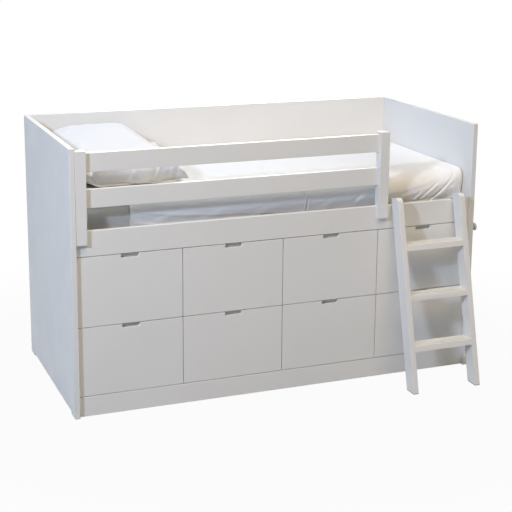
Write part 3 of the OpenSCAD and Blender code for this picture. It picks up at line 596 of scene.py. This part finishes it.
def mattress_piece():
    """The mattress: a soft block that fills the cover, with rounded ends and slight waves."""
    x0, x1 = MATTRESS_X
    turns = np.linspace(0, 1, 40)
    y, z = cover_profile(np.float64(1000), turns)
    ty, tz = np.gradient(y), np.gradient(z)
    size = np.hypot(ty, tz)
    thick = cover_thickness(y) + 2.2
    front = np.column_stack([y - tz / size * thick, z + ty / size * thick])
    front = front[front[:, 1] > 862]
    low, back = 24, 30
    arcs = [front]
    corners = (
        (front[-1, 0] + low, MATTRESS_LOW + low, low, math.pi),
        (MATTRESS_BACK - low, MATTRESS_LOW + low, low, 1.5 * math.pi),
        (MATTRESS_BACK - back, MATTRESS_TOP - back, back, 0.0),
    )
    for cy, cz, r, a0 in corners:
        a = a0 + np.linspace(0, math.pi / 2, 9)
        arcs.append(np.column_stack([cy + r * np.cos(a), cz + r * np.sin(a)]))
    ring = np.vstack(arcs)
    ring = ring[np.concatenate([[True], np.linalg.norm(np.diff(ring, axis=0), axis=1) > 0.8])]
    closed = np.vstack([ring, ring[:1]])
    along = np.concatenate([[0], np.cumsum(np.linalg.norm(np.diff(closed, axis=0), axis=1))])
    want = np.linspace(0, along[-1], 181)[:-1]
    ring = np.column_stack([np.interp(want, along, closed[:, k]) for k in range(2)])
    m = len(ring)
    centre = ring.mean(0)
    inward = centre - ring
    inward /= np.linalg.norm(inward, axis=1)[:, None]
    steps = np.array([0, 1.5, 5, 10, 18, 28])
    x = np.concatenate([x0 + steps, np.linspace(x0 + 40, x1 - 40, 130), x1 - steps[::-1]])
    rows = []
    for xi in x:
        end = min(xi - x0, x1 - xi)
        inset, corner = rounding(end, 18, 15), rounding(end, 40, 34)
        wave = 1.0 - 1.0 * ripple(np.full(m, xi), ring[:, 1] * 0.6, 21, 160)
        r = ring + inward * (inset + wave)[:, None]
        r[:, 0] += (corner + tuck_in(xi, ring[:, 1])) * (1 - smoothstep(ring[:, 0], 90, 300))
        rows.append(np.column_stack([np.full(m, xi), r]))
    points = np.vstack([*rows, [(x[0], *centre), (x[-1], *centre)]])
    faces = grid_faces(len(x), m, flip=True, wrap=True)
    a, b = len(points) - 2, len(points) - 1
    base = (len(x) - 1) * m
    faces += [(a, c, (c + 1) % m) for c in range(m)] + [(b, base + (c + 1) % m, base + c) for c in range(m)]
    piece = make("mattress_body", points, faces)
    return piece, np.array(rows)


mattress, mattress_rows = mattress_piece()
dress(mattress, TICKING)
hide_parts("mattress")

# Piping along the mattress's upper front edge where the cover leaves it bare
PIPING_Z = 958
on_back = mattress_rows[10, :, 1] > 300
nearest = int(np.argmin(np.abs(mattress_rows[10, :, 2] - PIPING_Z) + 1000 * on_back))
bare = mattress_rows[3:24, nearest]
cord = tube("mattress_piping", bare + (0, -1.0, 0.5), 2.6)
dress(cord, TICKING)

# ---------------------------------------------------------------- pillow

PILLOW_X, PILLOW_Y, PILLOW_FLOOR = (45.0, 685.0), (186.0, 950.0), 1022.7
# How far the pillow may reach to the left, to the back and up, in metres
PILLOW_LIMIT_X, PILLOW_LIMIT_Y, PILLOW_LIMIT_Z = 0.0262, 0.9612, 1.2185
PILLOW_EDGE, PILLOW_FRONT_POWER = 105, 4.2  # reach and form of its swell at front and back
# Height of the seam and of the crest along the pillow, and the crest's share at its back and front
SEAM_LINE = ((-1, 1092), (-0.9, 1076), (-0.78, 1050), (-0.6, 1044), (0.2, 1041), (0.8, 1038), (1, 1050))
CREST_LINE = ((-1, 116), (-0.7, 128), (-0.3, 148), (0.2, 172), (0.55, 188), (0.85, 192), (1, 188))
BACK_SHARE = (
    (-1, 0.7), (-0.85, 0.82), (-0.68, 0.92), (-0.5, 0.98), (-0.25, 1.0), (0.28, 0.99),
    (0.4, 0.92), (0.5, 0.82), (0.62, 0.67), (0.72, 0.55), (0.84, 0.43), (1, 0.3),
)
FRONT_SHARE = ((-1, 0.84), (-0.7, 0.97), (-0.3, 1), (0.5, 1), (0.8, 0.95), (1, 0.8))
# Folds as (start, end, width, depth, ridge): down the front in x and z, on top in x and y
PILLOW_FRONT_FOLDS = (
    ((478, 1150), (456, 1050), 13, 7.0, 5.0),
    ((362, 1150), (330, 1052), 16, 4.0, 5.0),
    ((545, 1140), (530, 1052), 16, 3.0, 3.5),
    ((215, 1140), (190, 1060), 18, 3.0, 4.0),
)
PILLOW_TOP_FOLDS = (
    ((110, 330), (235, 560), 26, 3.5, 3.5),
    ((640, 420), (520, 620), 26, 4.0, 3.5),
    ((150, 700), (260, 860), 24, 3.0, 3.0),
)


def curve(t, pairs):
    """Smooth curve through (place, value) pairs."""
    xs, ys = zip(*pairs)
    offsets = (-0.06, -0.03, 0, 0.03, 0.06)
    soft = sum(np.interp(np.clip(t + o, xs[0], xs[-1]), xs, ys) for o in offsets) / 5
    return np.where(np.abs(t) > 0.94, np.interp(t, xs, ys), soft)


def swell(d, reach, power):
    """Rise of a filled edge: 0 at the seam, 1 at reach millimetres from it."""
    t = np.clip(1 - d / reach, 0, 1)
    return (1 - t**power) ** (1 / power)


def pillow_piece():
    """Two panels of cloth sewn all round over a filling that is piled up against the back board."""
    cx, ax = sum(PILLOW_X) / 2, (PILLOW_X[1] - PILLOW_X[0]) / 2
    cy, ay = sum(PILLOW_Y) / 2, (PILLOW_Y[1] - PILLOW_Y[0]) / 2
    # Rows are dense up the front, so that its folds have points to bend at
    turn = np.linspace(0, 1, 25) ** 2 * math.pi / 2
    climb = PILLOW_EDGE / ay * (1 - np.cos(turn) ** (2 / PILLOW_FRONT_POWER))
    across = np.linspace(0, 1, 49)[1:]
    rest = 0.55 * np.sin(across * math.pi / 2) + 0.45 * across
    sv = np.concatenate([climb - 1, climb[-1] - 1 + (2 - climb[-1]) * rest])
    su = np.linspace(-1, 1, 91)
    su = 0.5 * np.sin(su * math.pi / 2) + 0.5 * su
    nu, nv = len(su), len(sv)
    U, V = np.meshgrid(su, sv)
    X = cx + ax * U * (1 - 0.04 * (1 - V**2))
    # The front corners are drawn in: less towards the back, where the pillow fills the corner of the bed
    near = (1 - V) / 2
    X += 95 * near**2.5 * np.clip(-U, 0, 1) ** 2 - 70 * near**1.2 * np.clip(U, 0, 1) ** 1.5
    Y = cy + ay * V * (1 - 0.03 * (1 - U**2) * (V > 0)) + 5 * (1 - U**2) * smoothstep(-V, 0.6, 1.0)
    side = ax * (1 - np.abs(U))
    end = ay * (1 - np.abs(V))
    t = (V + 1) / 2
    seam = curve(U, SEAM_LINE) + 38 * t**1.2
    share = smoothstep(V, -0.75, 0.35)
    filled = share * curve(U, BACK_SHARE) + (1 - share) * curve(U, FRONT_SHARE)
    crest = PILLOW_FLOOR + curve(V, CREST_LINE) * filled
    front_rise, back_rise = swell(end, PILLOW_EDGE, PILLOW_FRONT_POWER), swell(end, PILLOW_EDGE, 2.5)
    rise = np.where(V < 0, front_rise, back_rise) * swell(side, 120, 2.3)
    top = seam + np.maximum(crest - seam, 14) * rise
    hollow = np.where(V < 0, swell(end, 330, 1.25), swell(end, 150, 1.7))
    drop = seam - 70 * hollow * swell(side, 150, 1.7)
    # Where it would sink into the cover it settles on it softly
    floor = PILLOW_FLOOR
    settled = floor + 8 * np.exp((np.minimum(drop, floor + 8) - floor - 8) / 8)
    bottom = np.where(drop > floor + 8, drop, settled)
    # Slack folds down the front, worked along the swell's normal
    bulge = np.zeros_like(X)
    for spec in PILLOW_FRONT_FOLDS:
        bulge += crease(X, top, *spec)
    bulge *= smoothstep(-V, 0.5, 0.85) * smoothstep(top - seam, 0, 20)
    for spec in PILLOW_TOP_FOLDS:
        bulge += crease(X, Y, *spec) * smoothstep(V, -0.75, -0.5)
    bulge += 1.6 * ripple(X, Y, 31, 150) * swell(end, 160, 2) * swell(side, 160, 2)
    zu = np.gradient(top, axis=1) / np.gradient(X, axis=1)
    zv = np.gradient(top, axis=0) / np.gradient(Y, axis=0)
    steep = np.sqrt(1 + zu**2 + zv**2)
    # The front leans out over its seam, and the lower panel runs back under it
    height = np.clip((top - seam) / np.maximum(crest - seam, 1), 0, 1)
    lean = 60 - 34 * np.exp(-(((X - 395) / 52) ** 2)) + 16 * smoothstep(X, 470, 545)
    lean = np.where(V < 0, lean, 0) * smoothstep(1 - np.abs(U), 0, 0.2)
    under = lean * (1 - height)
    behind = lean * (1 - smoothstep(end, 0, 60))
    upper = np.stack([X - bulge * zu / steep, Y + under - bulge * zv / steep, top + bulge / steep], -1)
    lower = np.stack([X, Y + behind, bottom], -1)
    ids = np.arange(nu * nv).reshape(nv, nu)
    rim = np.zeros((nv, nu), bool)
    rim[0], rim[-1], rim[:, 0], rim[:, -1] = True, True, True, True
    upper[rim] = np.stack([X, Y + under, seam], -1)[rim]
    below = ids.copy()
    below[~rim] = nu * nv + np.arange((~rim).sum())
    points = np.concatenate([upper.reshape(-1, 3), lower[~rim]])
    faces = grid_faces(nv, nu)
    faces += [tuple(below.ravel()[list(f)])[::-1] for f in faces]
    piece = make("pillow_case", points, faces)

    # The two panels as cut, for the simulation's springs
    flat_u, flat_v = cx + (X - cx) * 1.1, cy + ay * 1.12 * V
    mid = PILLOW_FLOOR + 60
    lift = swell(end, 100, 2) * swell(side, 100, 2)
    cut = np.concatenate([
        np.stack([flat_u, flat_v, mid + 2 * lift], -1).reshape(-1, 3),
        np.stack([flat_u, flat_v, mid - 2 * lift], -1)[~rim],
    ])
    cloth(piece, 20, cap=0.005, rest=bed(cut), stiff=9, bend=0.12, pressure=1.4, quality=6)
    co = points_of(piece)
    co[:, 2] = np.clip(co[:, 2], floor / 1000, PILLOW_LIMIT_Z)
    co[:, 1] = np.minimum(co[:, 1], CORNER.y + PILLOW_LIMIT_Y)
    co[:, 0] = np.maximum(co[:, 0], CORNER.x + PILLOW_LIMIT_X)
    set_points(piece, co)
    subdivide = piece.modifiers.new("smooth", "SUBSURF")
    subdivide.levels = subdivide.render_levels = 1
    seam_ids = np.concatenate([ids[0], ids[1:, -1], ids[-1, -2::-1], ids[-2:0:-1, 0]])
    return piece, seam_ids


pillow, pillow_seam = pillow_piece()
dress(pillow, PILLOWCASE)
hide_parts("pillow")

seam_path = (points_of(pillow)[pillow_seam] - (CORNER.x, CORNER.y, 0)) * 1000
piping = tube("pillow_piping", seam_path, 2.4, closed=True)
dress(piping, THREAD)

# ---------------------------------------------------------------- light, floor and camera

scene = bpy.context.scene
scene.view_settings.view_transform = "Standard"


def seen_rays(tree):
    """A socket that is 1 for camera, glossy and transmission rays, and else 0."""
    path = tree.nodes.new("ShaderNodeLightPath")
    total = path.outputs["Is Camera Ray"]
    for ray in ("Is Glossy Ray", "Is Transmission Ray"):
        either = tree.nodes.new("ShaderNodeMath")
        either.operation = "MAXIMUM"
        tree.links.new(total, either.inputs[0])
        tree.links.new(path.outputs[ray], either.inputs[1])
        total = either.outputs[0]
    return total


def white_world():
    """A dim cool sky for the light, seen as plain white."""
    world = bpy.data.worlds.new("studio")
    world.use_nodes = True
    tree = world.node_tree
    background = tree.nodes["Background"]
    background.inputs["Color"].default_value = (0.68, 0.83, 1.0, 1)
    background.inputs["Strength"].default_value = 0.228
    white = tree.nodes.new("ShaderNodeBackground")
    white.inputs["Color"].default_value = (1, 1, 1, 1)
    white.inputs["Strength"].default_value = 1.0
    mix = tree.nodes.new("ShaderNodeMixShader")
    tree.links.new(seen_rays(tree), mix.inputs[0])
    tree.links.new(background.outputs[0], mix.inputs[1])
    tree.links.new(white.outputs[0], mix.inputs[2])
    tree.links.new(mix.outputs[0], tree.nodes["World Output"].inputs["Surface"])
    return world


scene.world = white_world()


def floor_material():
    """White to the eye, with a share of the lit floor: it keeps the bed's shadow and fades out around it."""
    material = bpy.data.materials.new("floor_white")
    material.use_nodes = True
    tree = material.node_tree
    matt = tree.nodes["Principled BSDF"]
    matt.inputs["Base Color"].default_value = (0.3, 0.3, 0.3, 1)
    matt.inputs["Roughness"].default_value = 0.9
    glow = tree.nodes.new("ShaderNodeEmission")
    glow.inputs["Strength"].default_value = 1.0
    both = tree.nodes.new("ShaderNodeMixShader")
    coords = tree.nodes.new("ShaderNodeTexCoord")
    reach = tree.nodes.new("ShaderNodeVectorMath")
    reach.operation = "LENGTH"
    tree.links.new(coords.outputs["Object"], reach.inputs[0])
    fade = tree.nodes.new("ShaderNodeMapRange")
    fade.interpolation_type = "SMOOTHSTEP"
    for socket, value in {"From Min": 1.3, "From Max": 2.7, "To Min": 0.95, "To Max": 1.0}.items():
        fade.inputs[socket].default_value = value
    tree.links.new(reach.outputs["Value"], fade.inputs["Value"])
    share = tree.nodes.new("ShaderNodeMath")
    share.operation = "MULTIPLY"
    tree.links.new(seen_rays(tree), share.inputs[0])
    tree.links.new(fade.outputs[0], share.inputs[1])
    tree.links.new(share.outputs[0], both.inputs[0])
    tree.links.new(matt.outputs[0], both.inputs[1])
    tree.links.new(glow.outputs[0], both.inputs[2])
    tree.links.new(both.outputs[0], tree.nodes["Material Output"].inputs["Surface"])
    return material


bpy.ops.mesh.primitive_plane_add(size=40, location=(0, 0, -0.0005))
floor = bpy.context.object
floor.name = "floor"
dress(floor, floor_material())


def area(name, place, target, size, power, color):
    """A rectangular lamp; its place and target are in the bed's own metres."""
    data = bpy.data.lights.new(name, "AREA")
    data.shape = "RECTANGLE"
    data.size, data.size_y = size
    data.energy = power
    data.color = color
    lamp = bpy.data.objects.new(name, data)
    lamp.location = Vector(place) + Vector((CORNER.x, CORNER.y, 0))
    lamp.rotation_euler = (Vector(target) - Vector(place)).to_track_quat("-Z", "Y").to_euler()
    scene.collection.objects.link(lamp)


# Name, place, target, size, watts and colour
LAMPS = (
    ("key", (0.85, -3.1, 6.7), (1.1, 0.1, 0.7), (3.2, 3.2), 250, (1.0, 0.75, 0.42)),
    ("left", (-3.85, -3.18, 3.9), (1.03, 0.2, 0.7), (0.6, 0.6), 227, (0.68, 0.79, 1.0)),
    ("right", (5.2, 0.8, 2.4), (2.0, 0.5, 0.7), (1.6, 1.6), 70, (0.97, 0.98, 1.0)),
    ("back_top", (0.95, 2.5, 4.1), (1.2, 0.4, 0.9), (1.7, 2.0), 55, (0.5, 0.7, 1.0)),
    ("behind", (2.6, 5.2, 1.8), (1.0, 0.9, 0.7), (2.5, 2.0), 130, (1.0, 0.93, 0.80)),
)
for lamp in LAMPS:
    area(*lamp)

# Camera from the perspective fit: place in the bed's own metres, radians, and focal length in pixels
EYE = (-1.2041, -5.2536, 2.2864)
YAW, TILT, ROLL = 0.3777, 0.2253, 0.0083
FOCAL, PHOTO_WIDTH = 1245.7, 512
SENSOR = 36
SHIFT = -0.12  # only as far as the framing needs
camera_data = bpy.data.cameras.new("camera")
camera_data.sensor_width = SENSOR
camera_data.lens = FOCAL / PHOTO_WIDTH * SENSOR
camera_data.shift_y = SHIFT
camera_data.clip_end = 200
camera = bpy.data.objects.new("camera", camera_data)
forward = Vector((math.sin(YAW) * math.cos(TILT), math.cos(YAW) * math.cos(TILT), -math.sin(TILT)))
right = Vector((math.cos(YAW), -math.sin(YAW), 0))
up = right.cross(forward)
right, up = right * math.cos(ROLL) + up * math.sin(ROLL), up * math.cos(ROLL) - right * math.sin(ROLL)
turn = Matrix((right, up, -forward)).transposed().to_4x4()
place = Vector(EYE) + Vector((CORNER.x, CORNER.y, 0))
camera.matrix_world = Matrix.Translation(place) @ turn
scene.collection.objects.link(camera)
scene.camera = camera
